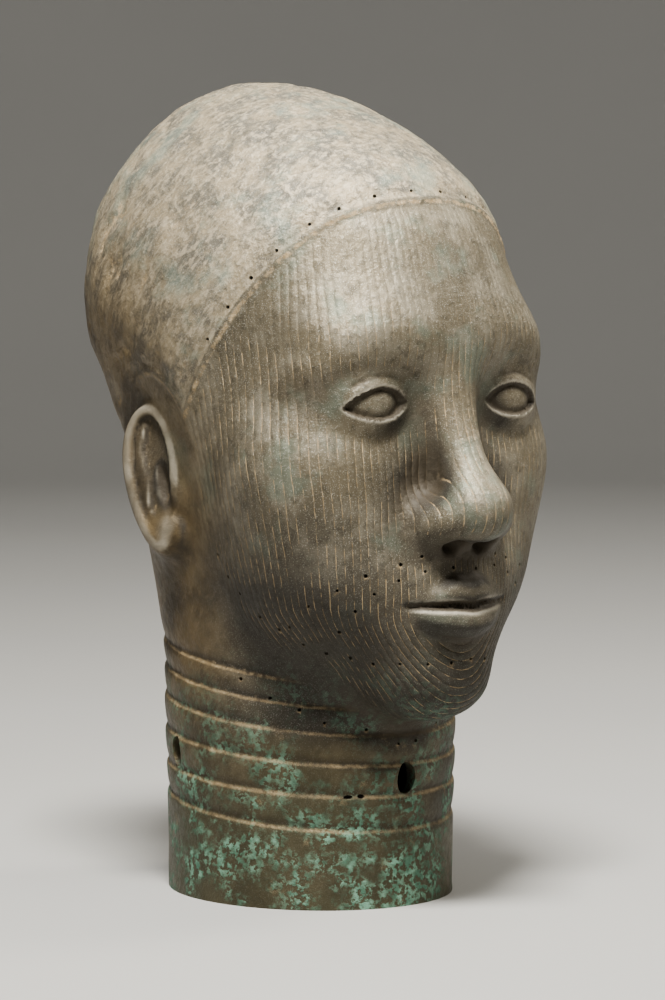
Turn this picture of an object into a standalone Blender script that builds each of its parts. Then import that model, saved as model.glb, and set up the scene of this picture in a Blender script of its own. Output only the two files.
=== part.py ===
"""Life-size cast bronze head on its neck: one hollow casting, open below, with three peg holes.

Metres, +Z up, face towards -Y. The origin is the middle of the underside's bounding box.
The head is sculpted as a signed field, negative inside the metal: plain forms are blended into
each other, and the surface is read off where the field is zero. The forms are given in head
parts, 240 of them from chin to crown.
"""

import bmesh
import bpy
import numpy as np
from mathutils import Matrix

HEAD_HEIGHT = 0.240
NECK_HEIGHT = 0.070
NECK_HALF_WIDTH = 0.052
NECK_HALF_DEPTH = 0.058

PARTS_IN_HEAD = 240
PART = HEAD_HEIGHT / PARTS_IN_HEAD
CAP_STEP = 1.7
CAP_BEAD = 1.0

CREASES = ((0.493, 0.093), (0.663, 0.071), (0.843, 0.091), (1.019, 0.105), (1.167, 0.12), (1.301, 0.13))
CREASE_DEPTH = 0.0014
CREASE_SLOPE = 0.0034
CREASE_LIP = 0.0008

WALL = 0.005
PEG_HOLE_WIDTH = 0.0084
PEG_HOLE_HEIGHT = 0.012
PEG_HOLES = ((0, 0.686), (109, 0.771), (-109, 0.771))
NECK_BACK = 0.0154 * HEAD_HEIGHT

HALF_ROOM = max(0.401 * HEAD_HEIGHT, 1.2 * NECK_HALF_WIDTH)
FRONT_ROOM = max(0.54 * HEAD_HEIGHT, 1.2 * NECK_HALF_DEPTH)
BELOW = 0.014
NET_STEP = 0.0025
HOLLOW_STEP = 0.014
KEPT_SHARE = 0.107


def ellipsoid(p, centre, radii, lean=0.0):
    """About the distance to an ellipsoid. lean turns it about X, in degrees, its front downwards."""
    x, y, z = (p[i] - centre[i] for i in range(3))
    if lean:
        c, s = np.cos(np.radians(lean)), np.sin(np.radians(lean))
        y, z = c * y - s * z, s * y + c * z
    a, b, c = radii
    near = np.sqrt((x / a) ** 2 + (y / b) ** 2 + (z / c) ** 2) + 1e-6
    steep = np.sqrt((x / a**2) ** 2 + (y / b**2) ** 2 + (z / c**2) ** 2) + 1e-6
    return near * (near - 1) / steep


def capsule(p, start, end, start_radius, end_radius):
    """The distance to a round bar whose radius runs from one end's to the other's."""
    start, end = np.array(start, float), np.array(end, float)
    along = end - start
    off = [p[i] - start[i] for i in range(3)]
    t = np.clip(sum(off[i] * along[i] for i in range(3)) / (along @ along), 0, 1)
    away = np.sqrt(sum((off[i] - t * along[i]) ** 2 for i in range(3)))
    return away - (start_radius + t * (end_radius - start_radius))


def blend(a, b, width):
    """The union of two fields, filleted over about that width."""
    h = np.maximum(width - np.abs(a - b), 0) / width
    return np.minimum(a, b) - h * h * width / 4


def carve(a, b, width):
    """Field a with b taken out of it, its edge rounded over about that width."""
    return -blend(-a, b, width)


def smooth_step(x, low, high):
    t = np.clip((x - low) / (high - low), 0, 1)
    return t * t * (3 - 2 * t)


def soft_max(a, b, width):
    return -blend(-a, -b, width)


def eye_field(p):
    """Eyeball and lids of the eye at +X, with the fold over the upper lid."""
    centre = (31, -67.5, 119)
    x, z = p[0] - centre[0], p[2] - centre[2]
    ball = ellipsoid(p, centre, (15.2, 15.3, 14.6))
    lids = ellipsoid(p, centre, (17.5, 17.2, 15.6))
    across = np.clip((x + 0.3) / 15.0, -1, 1)
    upper = -1.5 + 7.2 * (1 - across**2) ** 0.75 - 0.7 * across
    lower = -1.5 - 4.4 * (1 - across**2) ** 0.9 - 0.7 * across
    opening = soft_max(z - upper, lower - z, 0.5) * 0.8
    lids = carve(lids, opening, 1.0)
    fold = np.exp(-(((z - upper - 4.4) / 0.9) ** 2)) * smooth_step(13.5 - np.abs(x), 0, 4)
    return ball, lids + 0.9 * fold


def nose_field(p):
    """Bridge, tip and wings of the nose, and the nostril at +X."""
    bridge = capsule(p, (0, -77, 130), (0, -96, 84), 7.4, 9.0)
    tip = ellipsoid(p, (0, -99, 79), (11.5, 11.4, 9.8))
    wing = ellipsoid(p, (11.8, -89.5, 75.5), (7.6, 11.5, 7.8))
    nose = blend(bridge, tip, 14)
    nose = blend(nose, wing, 6)
    nostril = ellipsoid(p, (7.2, -94, 67.6), (4.0, 6.0, 4.0), lean=-15)
    return nose, nostril


def lip_fields(p):
    """Upper lip, lower lip and the share of the line between them, as bars bent round the teeth."""
    x, y, z = p
    share = np.minimum(x / 25, 1)
    arch = y + 91.2 - 0.0205 * x**2
    peak = np.exp(-(((x - 5.5) / 4.2) ** 2))
    upper_level = 49.3 + 1.0 * peak - 3.9 * share**2
    upper_radius = 5.3 * np.maximum(1 - share**2.4, 0) ** 0.6 + 0.5 * peak
    upper = np.hypot(arch * 0.92, z - upper_level) - upper_radius
    lower_level = 39.8 + 5.5 * share**2
    lower_radius = 6.9 * np.maximum(1 - share**2.2, 0) ** 0.6
    lower = np.hypot(arch * 0.92, z - lower_level) - lower_radius
    past = np.maximum(x - 25, 0)
    line = np.exp(-(((z - 45.4 + 0.8 * np.exp(-((x / 4) ** 2))) / 1.3) ** 2))
    line = line * smooth_step(25.5 - x, 0, 5) * smooth_step(-y, 66, 72)
    return (upper + past) * 0.85, (lower + past) * 0.85, line


def head_form(p):
    """Cranium, face and jaw, without the features."""
    cranium = ellipsoid(p, (0, 7, 156), (68.5, 89.5, 69), lean=3)
    cranium = blend(cranium, ellipsoid(p, (0, 32, 166), (52, 65.5, 67)), 25)
    face = ellipsoid(p, (0, -21, 102), (63, 61, 90))
    form = blend(cranium, face, 30)
    form = blend(form, ellipsoid(p, (0, -38, 48), (50, 47, 41)), 18)
    form = blend(form, ellipsoid(p, (0, -72, 17), (23, 18, 16)), 20)
    form = blend(form, ellipsoid(p, (0, -62, 51), (36, 28, 28)), 18)
    form = blend(form, ellipsoid(p, (34, -48, 72), (24, 25, 30)), 22)
    return blend(form, ellipsoid(p, (37, -52, 98), (25, 23, 22)), 24)


def ear_field(p):
    """One ear, the one at +X, and the hollow in it."""
    turn, tilt = np.radians(10), np.radians(12)
    x, y, z = p[0] - 59.5, p[1] - 13, p[2] - 88.5
    y, z = np.cos(tilt) * y - np.sin(tilt) * z, np.sin(tilt) * y + np.cos(tilt) * z
    out = np.cos(turn) * x - np.sin(turn) * y
    back = np.sin(turn) * x + np.cos(turn) * y
    q = (out, back, z)
    wide = 12.6 * (1 + 0.15 * np.clip(z / 26, -1, 1))
    shaped = np.sqrt((back / wide) ** 2 + (z / 27) ** 2) + 1e-6
    steep = np.sqrt((back / wide**2) ** 2 + (z / 27**2) ** 2) + 1e-6
    edge = shaped * (shaped - 1) / steep
    plate = soft_max(edge + 1.2, out - 0.6, 1.5)
    plate = soft_max(plate, 0.45 * edge - 4 - out, 2)
    rim = np.hypot(edge + 2.0, out - 2.9) - 2.2
    rim = rim + 6 * smooth_step(-back, 2, 8) * smooth_step(-z, 1, 9)
    fold = np.hypot(edge + 6.8, out - 1.5) - 1.8
    fold = fold + 6 * smooth_step(-back, -3, 4)
    ear = blend(plate, rim, 1.8)
    ear = blend(ear, fold, 1.5)
    ear = blend(ear, ellipsoid(q, (1.5, -10.6, -6), (3.6, 2.6, 5.5)), 3)
    ear = blend(ear, ellipsoid(q, (1.6, -3.5, -20.5), (3.6, 5.6, 6.2)), 3)
    return ear, ellipsoid(q, (3.6, -3.2, -3), (7.8, 5.6, 10.5))


def cap_side(p):
    """How far a point is inside the hair cap: behind its front edge, clear of the ear and above the nape."""
    x, y, z = p
    front = 0.816 * (y + 11.4) + 0.578 * (z - 114)
    inside = soft_max(front, z - 194 + 0.0012 * x**2, 12)
    round_ear = np.sqrt(((y - 12) / 27) ** 2 + ((z - 92) / 36) ** 2) - 1
    inside = -soft_max(-inside, -32 * round_ear, 2)
    return -soft_max(-inside, -(z - 88), 8)


def head_field(p):
    """The head, in parts: its forms, features, ears and the raised edge and cover of the hair."""
    x, y, z = p
    p = (np.abs(x), y, z)
    form = head_form(p)
    form = blend(form, ellipsoid(p, (19, -69, 138), (27, 14, 10)), 28)
    form = carve(form, ellipsoid(p, (29, -99, 121), (19, 13.5, 11)), 20)
    inside = cap_side(p)
    form = form - CAP_STEP * smooth_step(inside, 0.3, 8)
    form = form - CAP_BEAD * np.exp(-(((inside - 0.3) / 1.3) ** 2))
    nose, nostril = nose_field(p)
    form = blend(form, nose, 11)
    form = carve(form, nostril, 1.8)
    ball, lids = eye_field(p)
    form = blend(form, lids, 4.5)
    form = blend(form, ball, 0.5)
    upper, lower, line = lip_fields(p)
    form = carve(form, capsule(p, (0, -99, 64), (0, -99.5, 56), 4.0, 4.6), 3)
    form = blend(form, upper, 1.8)
    form = blend(form, lower, 1.8)
    form = form + 1.5 * line
    ear, hollow = ear_field(p)
    return carve(blend(form, ear, 3), hollow, 1.8)


def neck_field(p):
    """The neck in metres, before its creases: a column that widens and leans back as it rises into the skull."""
    x, y, z = p
    up = (z - NECK_HEIGHT) / PART
    wide = 1.0 + 0.028 * smooth_step(up, -60, 10) + 0.03 * smooth_step(up, 10, 90)
    y = y - 7.5 * PART * smooth_step(up, 10, 100)
    a, b = NECK_HALF_WIDTH * wide, NECK_HALF_DEPTH * wide
    away = np.sqrt((x / a) ** 2 + (y / b) ** 2) + 1e-6
    steep = np.sqrt((x / a**2) ** 2 + (y / b**2) ** 2) + 1e-6
    return soft_max(away * (away - 1) / steep, (up - 104) * PART, 0.03)


def bronze_field(p):
    """The outside of the casting, in metres."""
    x, y, z = p
    head = head_field((x / PART, y / PART, (z - NECK_HEIGHT) / PART)) * PART
    neck = neck_field(p)
    metal = blend(head, neck, 0.010 + 0.026 * smooth_step(y, -0.02, 0.05))
    shown = smooth_step(head - neck, 0.0, 0.006) * CREASE_DEPTH
    for level, tilt in CREASES:
        above = z - level * NECK_HEIGHT - tilt * y
        metal = metal + shown * np.exp(-np.maximum(above / CREASE_SLOPE, -above / CREASE_LIP))
    return metal


def parted(value):
    """The sampled values, made negative wherever the metal would meet itself along one bare edge."""
    for _ in range(9):
        inside = value < 0
        filled = 0
        for a, b in ((0, 1), (1, 2), (0, 2)):
            near, far_a, far_b, far = [[slice(None)] * 3 for _ in range(4)]
            for corner, ends in ((near, (0, 0)), (far_a, (1, 0)), (far_b, (0, 1)), (far, (1, 1))):
                for axis, end in zip((a, b), ends):
                    corner[axis] = slice(1, None) if end else slice(None, -1)
            first = inside[tuple(near)]
            other = inside[tuple(far_a)]
            clash = (first == inside[tuple(far)]) & (other == inside[tuple(far_b)]) & (first != other)
            at = np.argwhere(clash)
            at[:, a] += first[clash]
            value[tuple(at.T)] = -1e-5
            filled += len(at)
        if not filled:
            break
    return value


def surface_net(field, low, high, step):
    """Points and four-sided faces of the surface where the field is zero."""
    axes = [np.arange(a, b + step, step) for a, b in zip(low, high)]
    value = np.empty([len(a) for a in axes], np.float32)
    for k, z in enumerate(axes[2]):
        x, y = np.meshgrid(axes[0], axes[1], indexing="ij")
        value[:, :, k] = field((x, y, np.full_like(x, z)))
    value = parted(value)
    cells = [n - 1 for n in value.shape]
    total = np.zeros(cells + [3], np.float32)
    count = np.zeros(cells, np.int16)
    crossings = []
    for axis in range(3):
        first = np.take(value, range(value.shape[axis] - 1), axis)
        second = np.take(value, range(1, value.shape[axis]), axis)
        at = np.argwhere((first < 0) != (second < 0))
        v0 = first[tuple(at.T)]
        v1 = second[tuple(at.T)]
        point = np.stack([axes[i][at[:, i]] for i in range(3)], 1)
        point[:, axis] += step * v0 / (v0 - v1)
        crossings.append((axis, at, v0 < 0))
        others = [i for i in range(3) if i != axis]
        for da in (0, -1):
            for db in (0, -1):
                cell = at.copy()
                cell[:, others[0]] += da
                cell[:, others[1]] += db
                np.add.at(total, tuple(cell.T), point)
                np.add.at(count, tuple(cell.T), 1)
    used = count > 0
    index = np.full(cells, -1)
    index[used] = np.arange(used.sum())
    points = total[used] / count[used][:, None]
    faces = []
    for axis, at, inside_first in crossings:
        others = [(axis + 1) % 3, (axis + 2) % 3]
        corners = []
        for da, db in ((-1, -1), (0, -1), (0, 0), (-1, 0)):
            cell = at.copy()
            cell[:, others[0]] += da
            cell[:, others[1]] += db
            corners.append(index[tuple(cell.T)])
        quad = np.stack(corners, 1)
        quad[~inside_first] = quad[~inside_first][:, ::-1]
        faces.append(quad)
    return points.astype(np.float64), np.concatenate(faces)


def onto_surface(field, points, step, rounds=3):
    """The points moved along the field's slope until it is zero there."""
    for _ in range(rounds):
        here = field(tuple(points.T))
        slope = np.empty_like(points)
        for axis in range(3):
            moved = points.copy()
            moved[:, axis] += step
            slope[:, axis] = (field(tuple(moved.T)) - here) / step
        length = np.maximum((slope**2).sum(1), 0.05)
        points = points - slope * np.clip(here / length, -4 * step, 4 * step)[:, None]
    return points


def triangles(quads):
    """Each four-sided face as two triangles."""
    return np.concatenate([quads[:, [0, 1, 2]], quads[:, [0, 2, 3]]])


def relaxed(field, points, faces, step, rounds):
    """The points drawn towards the middle of their neighbours and set back on the surface, a few times."""
    pairs = np.concatenate([faces[:, [0, 1]], faces[:, [1, 2]], faces[:, [2, 0]]])
    share = np.bincount(pairs[:, 0], minlength=len(points))[:, None]
    for _ in range(rounds):
        around = np.zeros_like(points)
        np.add.at(around, pairs[:, 0], points[pairs[:, 1]])
        points = onto_surface(field, (points + around / share) / 2, step, 2)
    return points


def solid_of(name, field, step):
    """A closed mesh object of the surface where the field is zero."""
    half = (np.ceil(HALF_ROOM / step) - 0.5) * step
    low = (-half, -FRONT_ROOM, -2 * BELOW - step / 2)
    high = (half, FRONT_ROOM, NECK_HEIGHT + 1.05 * HEAD_HEIGHT)
    points, quads = surface_net(field, low, high, step)
    faces = triangles(quads)
    points = relaxed(field, points, faces, step / 10, 3)
    points[:, 1] += NECK_BACK
    mesh = bpy.data.meshes.new(name)
    mesh.from_pydata(points.tolist(), [], faces.tolist())
    mesh.shade_smooth()
    made = bpy.data.objects.new(name, mesh)
    bpy.context.scene.collection.objects.link(made)
    return made


def outside(p):
    """The casting's outside, run on below the floor so that the ground can cut it flat."""
    return soft_max(bronze_field(p), -BELOW - p[2], 0.004)


def inside(p):
    """The hollow: the plain forms of head and neck, one wall's thickness in, open at the foot."""
    x, y, z = p
    form = head_form((np.abs(x) / PART, y / PART, (z - NECK_HEIGHT) / PART)) * PART
    plain = blend(form, neck_field(p), 0.010 + 0.026 * smooth_step(y, -0.02, 0.05))
    return soft_max(plain + WALL, -1.5 * BELOW - z, 0.004)


def cutter(made):
    made.hide_render = True
    made.display_type = "WIRE"
    return made


def peg_cutter():
    """Three oval bars through the neck wall, pointing at its axis."""
    near, far = 0.5 * NECK_HALF_WIDTH, 1.4 * max(NECK_HALF_WIDTH, NECK_HALF_DEPTH)
    form = bmesh.new()
    for turn, level in PEG_HOLES:
        place = Matrix.Translation((0, NECK_BACK, level * NECK_HEIGHT))
        place = place @ Matrix.Rotation(np.radians(-turn), 4, "Z")
        place = place @ Matrix.Translation((0, -(near + far) / 2, 0)) @ Matrix.Rotation(np.pi / 2, 4, "X")
        bmesh.ops.create_cone(
            form,
            cap_ends=True,
            segments=20,
            radius1=0.5,
            radius2=0.5,
            depth=far - near,
            matrix=place @ Matrix.Diagonal((PEG_HOLE_WIDTH, PEG_HOLE_HEIGHT, 1, 1)),
        )
    mesh = bpy.data.meshes.new("peg_cutter")
    form.to_mesh(mesh)
    form.free()
    made = bpy.data.objects.new("peg_cutter", mesh)
    bpy.context.scene.collection.objects.link(made)
    return cutter(made)


def ground_cutter():
    """A block whose top is the surface that the neck stands on."""
    form = bmesh.new()
    room = 4 * max(NECK_HALF_WIDTH, NECK_HALF_DEPTH)
    place = Matrix.Translation((0, 0, -2 * BELOW)) @ Matrix.Diagonal((room, room, 4 * BELOW, 1))
    bmesh.ops.create_cube(form, size=1, matrix=place)
    mesh = bpy.data.meshes.new("ground_cutter")
    form.to_mesh(mesh)
    form.free()
    made = bpy.data.objects.new("ground_cutter", mesh)
    bpy.context.scene.collection.objects.link(made)
    return cutter(made)


def bronze():
    material = bpy.data.materials.new("patinated_bronze")
    material.use_nodes = True
    shader = material.node_tree.nodes["Principled BSDF"]
    shader.inputs["Base Color"].default_value = (0.115, 0.095, 0.068, 1)
    shader.inputs["Roughness"].default_value = 0.46
    shader.inputs["Metallic"].default_value = 0.55
    return material


def build():
    for made in list(bpy.data.objects):
        bpy.data.objects.remove(made)
    head = solid_of("head", outside, NET_STEP)
    head.data.materials.append(bronze())
    hollow = cutter(solid_of("hollow_cutter", inside, HOLLOW_STEP))

    thinned = head.modifiers.new("thinned", "DECIMATE")
    thinned.ratio = KEPT_SHARE
    for tool in (hollow, ground_cutter(), peg_cutter()):
        cut = head.modifiers.new(tool.name, "BOOLEAN")
        cut.operation = "DIFFERENCE"
        cut.solver = "EXACT"
        cut.object = tool


if __name__ == "__main__":
    build()
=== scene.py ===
"""The bronze head dressed: fine relief, small round holes, patina, studio floor, lights and camera."""

import math
from functools import partialmethod

import bmesh
import bpy
import numpy as np
from mathutils import Matrix, Vector, noise


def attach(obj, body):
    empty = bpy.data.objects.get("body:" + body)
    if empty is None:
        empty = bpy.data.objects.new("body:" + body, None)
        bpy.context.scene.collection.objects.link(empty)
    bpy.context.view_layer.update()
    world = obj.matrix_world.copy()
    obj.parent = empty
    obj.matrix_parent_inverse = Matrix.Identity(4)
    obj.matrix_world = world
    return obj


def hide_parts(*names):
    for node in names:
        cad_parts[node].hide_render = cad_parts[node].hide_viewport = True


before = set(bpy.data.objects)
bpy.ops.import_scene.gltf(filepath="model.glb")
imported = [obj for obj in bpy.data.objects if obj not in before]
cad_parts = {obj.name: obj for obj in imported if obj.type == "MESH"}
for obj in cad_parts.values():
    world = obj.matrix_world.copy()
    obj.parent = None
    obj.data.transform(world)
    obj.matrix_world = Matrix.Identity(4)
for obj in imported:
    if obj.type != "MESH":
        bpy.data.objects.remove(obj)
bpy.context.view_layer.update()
random = np.random.default_rng(11)

# Sizes in metres.
HEAD_HEIGHT = 0.240
NECK_HEIGHT = 0.070
NECK_HALF_WIDTH = 0.052
NECK_HALF_DEPTH = 0.058

# Places on the head are in parts: across, back from the neck's axis, and up from the chin.
PARTS_IN_HEAD = 240
PART = HEAD_HEIGHT / PARTS_IN_HEAD
CAP_STEP = 1.7
CAP_BEAD = 1.0
# Jaw, chin, mouth, cheek and cheekbone: centre, radii and width of the blend.
FACE_FORMS = (
    ((0, -38, 48), (50, 47, 41), 18),
    ((0, -72, 17), (23, 18, 16), 20),
    ((0, -62, 51), (36, 28, 28), 18),
    ((34, -48, 72), (24, 25, 30), 22),
    ((37, -52, 98), (25, 23, 22), 24),
)

# The hair's front edge lies in a plane that faces this much back and this much up.
HAIR_BACK = 0.816
HAIR_UP = 0.578
HAIR_TURN = math.radians(35.3)

# Each crease's height in front, as a share of the neck's, and how it rises to the back.
CREASES = ((0.493, 0.093), (0.663, 0.071), (0.843, 0.091), (1.019, 0.105), (1.167, 0.12), (1.301, 0.13))
CREASE_DEPTH = 0.0014
CREASE_SLOPE = 0.0034
CREASE_LIP = 0.0008

WALL = 0.005
PEG_HOLE_WIDTH = 0.0084
PEG_HOLE_HEIGHT = 0.012
# Each peg hole's turn from the front, in degrees, and its height as a share of the neck's.
PEG_HOLES = ((0, 0.686), (109, 0.771), (-109, 0.771))
PEG_HOLE_START = 1.4 * NECK_HALF_DEPTH
PEG_HOLE_LENGTH = 0.052
NECK_BACK = 0.0154 * HEAD_HEIGHT

HALF_ROOM = max(0.401 * HEAD_HEIGHT, 1.2 * NECK_HALF_WIDTH)
FRONT_ROOM = max(0.54 * HEAD_HEIGHT, 1.2 * NECK_HALF_DEPTH)
BELOW = 0.014

# Edge lengths: of the first nets, then of the finished skin in one place and another.
NET_STEP = 0.0034
HOLLOW_STEP = 0.009
SKIN_EDGE = 0.0034
CAP_EDGE = 0.0024
HAIRLINE_EDGE = 0.0015
CREASE_EDGE = 0.0016
RIM_EDGE = 0.0022
EDGE_SLACK = 1.45
# Ovals of finer mesh round eye, nose, mouth and ear: centre, radii and edge length.
FINE_OVALS = (
    ((30, -82, 120), (22, 24, 16), 0.0010),
    ((0, -104, 74), (24, 28, 22), 0.0014),
    ((0, -98, 45), (30, 30, 16), 0.0011),
    ((60, 13, 88), (17, 18, 32), 0.0013),
)

# A beam to the surface starts so far out and closes this share of the gap each time.
BEAM_START = 0.16
BEAM_PACE = 0.7
BEAM_STEPS = 40

# The face's upright lines, in parts but for their depth, and the axis that they go round.
FACE_AXIS = -10
LINE_ROUND = 74
LINE_SPACING = 2.6
LINE_HALF_WIDTH = 0.36
LINE_DEPTH = 0.00024
EAR_FURROW = 0.0012

# Small holes: width, depth, start outside, and along the hair's edge spacing and inset in parts.
SMALL_HOLE = 0.0014
SMALL_HOLE_DEPTH = 0.0052
SMALL_HOLE_START = 0.002
HAIR_HOLE_SPACING = 0.0140
HAIR_HOLE_INSET = 3.2
# Rows of small holes on one side, as turns from the nose and levels: from lip to cheek, round the
# mouth, from chin to ear, and under the jaw.
HOLE_ROWS = (
    ((12, 19, 27, 35, 43, 50), (63, 61, 57, 51.5, 45, 38)),
    ((4, 11.5, 18.5, 25, 30, 34), (58.5, 59, 56, 50.5, 43.5, 36)),
    (
        (3.5, 10, 17, 24, 31, 38, 46, 54, 62, 69, 75, 80),
        (24.5, 24, 23.5, 24, 25.5, 27.5, 30.5, 35, 41, 47.5, 54, 61),
    ),
    ((5, 20, 38, 49.5, 62.5, 76), (-8, -3, -0.5, 5, 8.5, 15)),
)

# The casting flaw: where it is, and each pit's place beside that and half length.
FLAW_TURN = -25
FLAW_LEVEL = -27.8
FLAW_PITS = ((-0.0026, 0.0019), (0.0023, 0.0016))
FLAW_HALF_DEPTH = 0.0019
FLAW_HALF_HEIGHT = 0.0009

# The cast skin: wavelengths of its lumps, their heights on the cap, and the depth of pits and scars.
BROAD, MIDDLE, SMALL, FLAKE = 0.036, 0.014, 0.0065, 0.0038
LUMPS = (0.00040, 0.00070, 0.00052, 0.00030)
PIT_DEPTH = 0.00090
SCAR_DEPTH = 0.00055
NECK_WEAR = 0.00018

FLOOR_FLAT = 2.3
FLOOR_RISE = 1.3
FLOOR_SIDES = 64
FLOOR_WALL = 4.5
# Each light: name, turn and rise in degrees, distance, width, power and colour.
LIGHTS = (
    ("key", -43, 64, 1.5, 0.40, 118, (1.0, 0.96, 0.88)),
    ("fill", -120, 30, 2.0, 1.0, 1.5, (1.0, 0.96, 0.90)),
    ("rim", 66, 42, 1.5, 0.4, 19, (1.0, 0.93, 0.80)),
    ("top", 20, 80, 1.5, 0.8, 8, (1.0, 0.97, 0.92)),
)
LIGHTS_AIM = 0.18
WORLD_COLOUR = (0.75, 0.77, 0.80, 1)
WORLD_STRENGTH = 0.04

CAMERA_TURN = -38
CAMERA_UP = 4.2
CAMERA_PLACE = (-0.90755519, -1.17563308 + NECK_BACK, 0.25710828)
LENS = 140.8
SENSOR = 36

# Colours of the bronze, of what has grown on it and of what has caught in it, and of painted shade,
# shadow and highlight.
BRONZE = (0.075, 0.064, 0.043, 1)
LIGHT_BRONZE = (0.122, 0.102, 0.066, 1)
GREY_BRONZE = (0.180, 0.160, 0.118, 1)
DARK_BRONZE = (0.036, 0.031, 0.021, 1)
GREEN_BRONZE = (0.110, 0.150, 0.118, 1)
STONE = (0.120, 0.110, 0.088, 1)
CREAM = (0.270, 0.222, 0.142, 1)
PALE_CREAM = (0.380, 0.325, 0.230, 1)
DARK_STONE = (0.074, 0.066, 0.052, 1)
GREEN_CREAM = (0.180, 0.245, 0.205, 1)
DEEP_BROWN = (0.044, 0.030, 0.013, 1)
BROWN = (0.100, 0.070, 0.032, 1)
LIGHT_BROWN = (0.150, 0.110, 0.060, 1)
DARK_GREEN = (0.038, 0.098, 0.064, 1)
MINT = (0.112, 0.238, 0.168, 1)
# Painted shade that darkens the neck towards its foot.
LOW_NECK_SHADE = (0.022, 0.017, 0.009, 1)
OLIVE = (0.050, 0.062, 0.036, 1)
# Painted shadow under the neck's rings and at the hair's edge.
PAINTED_SHADOW_BROWN = (0.024, 0.018, 0.011, 1)
# Painted shade, with some dark patina, on the jaw, under the chin and in the ear.
PAINTED_SHADE_AND_PATINA = (0.012, 0.010, 0.007, 1)
EARTH = (0.180, 0.122, 0.058, 1)
PALE_EARTH = (0.345, 0.262, 0.148, 1)
# Light specks that stand for glints of the grain: painted glints.
GLINT_SPECK = (0.46, 0.45, 0.40, 1)
# Rubbed wear and a painted highlight on ridges, lips, lids and the ear's rim.
RUBBED_HIGHLIGHT = (0.360, 0.330, 0.265, 1)
# Painted shade in recesses.
RECESS_SHADE = (0.030, 0.023, 0.014, 1)
# Painted shade inside the hollow, the holes and the flaw.
HOLLOW_SHADE = (0.020, 0.016, 0.012, 1)
FLOOR = (0.27, 0.27, 0.265, 1)
PALE_FLOOR = (0.29, 0.29, 0.285, 1)


def ellipsoid(p, centre, radii, lean=0.0):
    """About the distance to an ellipsoid. lean turns it about X, in degrees, its front downwards."""
    x, y, z = (p[i] - centre[i] for i in range(3))
    if lean:
        c, s = np.cos(np.radians(lean)), np.sin(np.radians(lean))
        y, z = c * y - s * z, s * y + c * z
    a, b, c = radii
    near = np.sqrt((x / a) ** 2 + (y / b) ** 2 + (z / c) ** 2) + 1e-6
    steep = np.sqrt((x / a**2) ** 2 + (y / b**2) ** 2 + (z / c**2) ** 2) + 1e-6
    return near * (near - 1) / steep


def capsule(p, start, end, start_radius, end_radius):
    """The distance to a round bar whose radius runs from one end's to the other's."""
    start, end = np.array(start, float), np.array(end, float)
    along = end - start
    off = [p[i] - start[i] for i in range(3)]
    t = np.clip(sum(off[i] * along[i] for i in range(3)) / (along @ along), 0, 1)
    away = np.sqrt(sum((off[i] - t * along[i]) ** 2 for i in range(3)))
    return away - (start_radius + t * (end_radius - start_radius))


def blend(a, b, width):
    """The union of two fields, filleted over about that width."""
    h = np.maximum(width - np.abs(a - b), 0) / width
    return np.minimum(a, b) - h * h * width / 4


def carve(a, b, width):
    """Field a with b taken out of it, its edge rounded over about that width."""
    return -blend(-a, b, width)


def ramp(x, low, high):
    """0 below low, 1 above high, and a smooth rise between."""
    t = np.clip((x - low) / (high - low), 0, 1)
    return t * t * (3 - 2 * t)


def soft_max(a, b, width):
    """What two fields share, its edge rounded over about that width."""
    return -blend(-a, -b, width)


def eye_field(p):
    """Eyeball and lids of the eye at +X, with the fold over the upper lid."""
    centre = (31, -67.5, 119)
    x, z = p[0] - centre[0], p[2] - centre[2]
    ball = ellipsoid(p, centre, (15.2, 15.3, 14.6))
    lids = ellipsoid(p, centre, (17.5, 17.2, 15.6))
    across = np.clip((x + 0.3) / 15.0, -1, 1)
    upper = -1.5 + 7.2 * (1 - across**2) ** 0.75 - 0.7 * across
    lower = -1.5 - 4.4 * (1 - across**2) ** 0.9 - 0.7 * across
    opening = soft_max(z - upper, lower - z, 0.5) * 0.8
    lids = carve(lids, opening, 1.0)
    fold = np.exp(-(((z - upper - 4.4) / 0.9) ** 2)) * ramp(13.5 - np.abs(x), 0, 4)
    return ball, lids + 0.9 * fold


def nose_field(p):
    """Bridge, tip and wings of the nose, and the nostril at +X."""
    bridge = capsule(p, (0, -77, 130), (0, -96, 84), 7.4, 9.0)
    tip = ellipsoid(p, (0, -99, 79), (11.5, 11.4, 9.8))
    wing = ellipsoid(p, (11.8, -89.5, 75.5), (7.6, 11.5, 7.8))
    nose = blend(bridge, tip, 14)
    nose = blend(nose, wing, 6)
    nostril = ellipsoid(p, (7.2, -94, 67.6), (4.0, 6.0, 4.0), lean=-15)
    return nose, nostril


def lip_fields(p):
    """Upper lip, lower lip and the share of the line between them, as bars bent round the teeth."""
    x, y, z = p
    share = np.minimum(x / 25, 1)
    arch = y + 91.2 - 0.0205 * x**2
    peak = np.exp(-(((x - 5.5) / 4.2) ** 2))
    upper_level = 49.3 + 1.0 * peak - 3.9 * share**2
    upper_radius = 5.3 * np.maximum(1 - share**2.4, 0) ** 0.6 + 0.5 * peak
    upper = np.hypot(arch * 0.92, z - upper_level) - upper_radius
    lower_level = 39.8 + 5.5 * share**2
    lower_radius = 6.9 * np.maximum(1 - share**2.2, 0) ** 0.6
    lower = np.hypot(arch * 0.92, z - lower_level) - lower_radius
    past = np.maximum(x - 25, 0)
    line = np.exp(-(((z - 45.4 + 0.8 * np.exp(-((x / 4) ** 2))) / 1.3) ** 2))
    line = line * ramp(25.5 - x, 0, 5) * ramp(-y, 66, 72)
    return (upper + past) * 0.85, (lower + past) * 0.85, line


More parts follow.
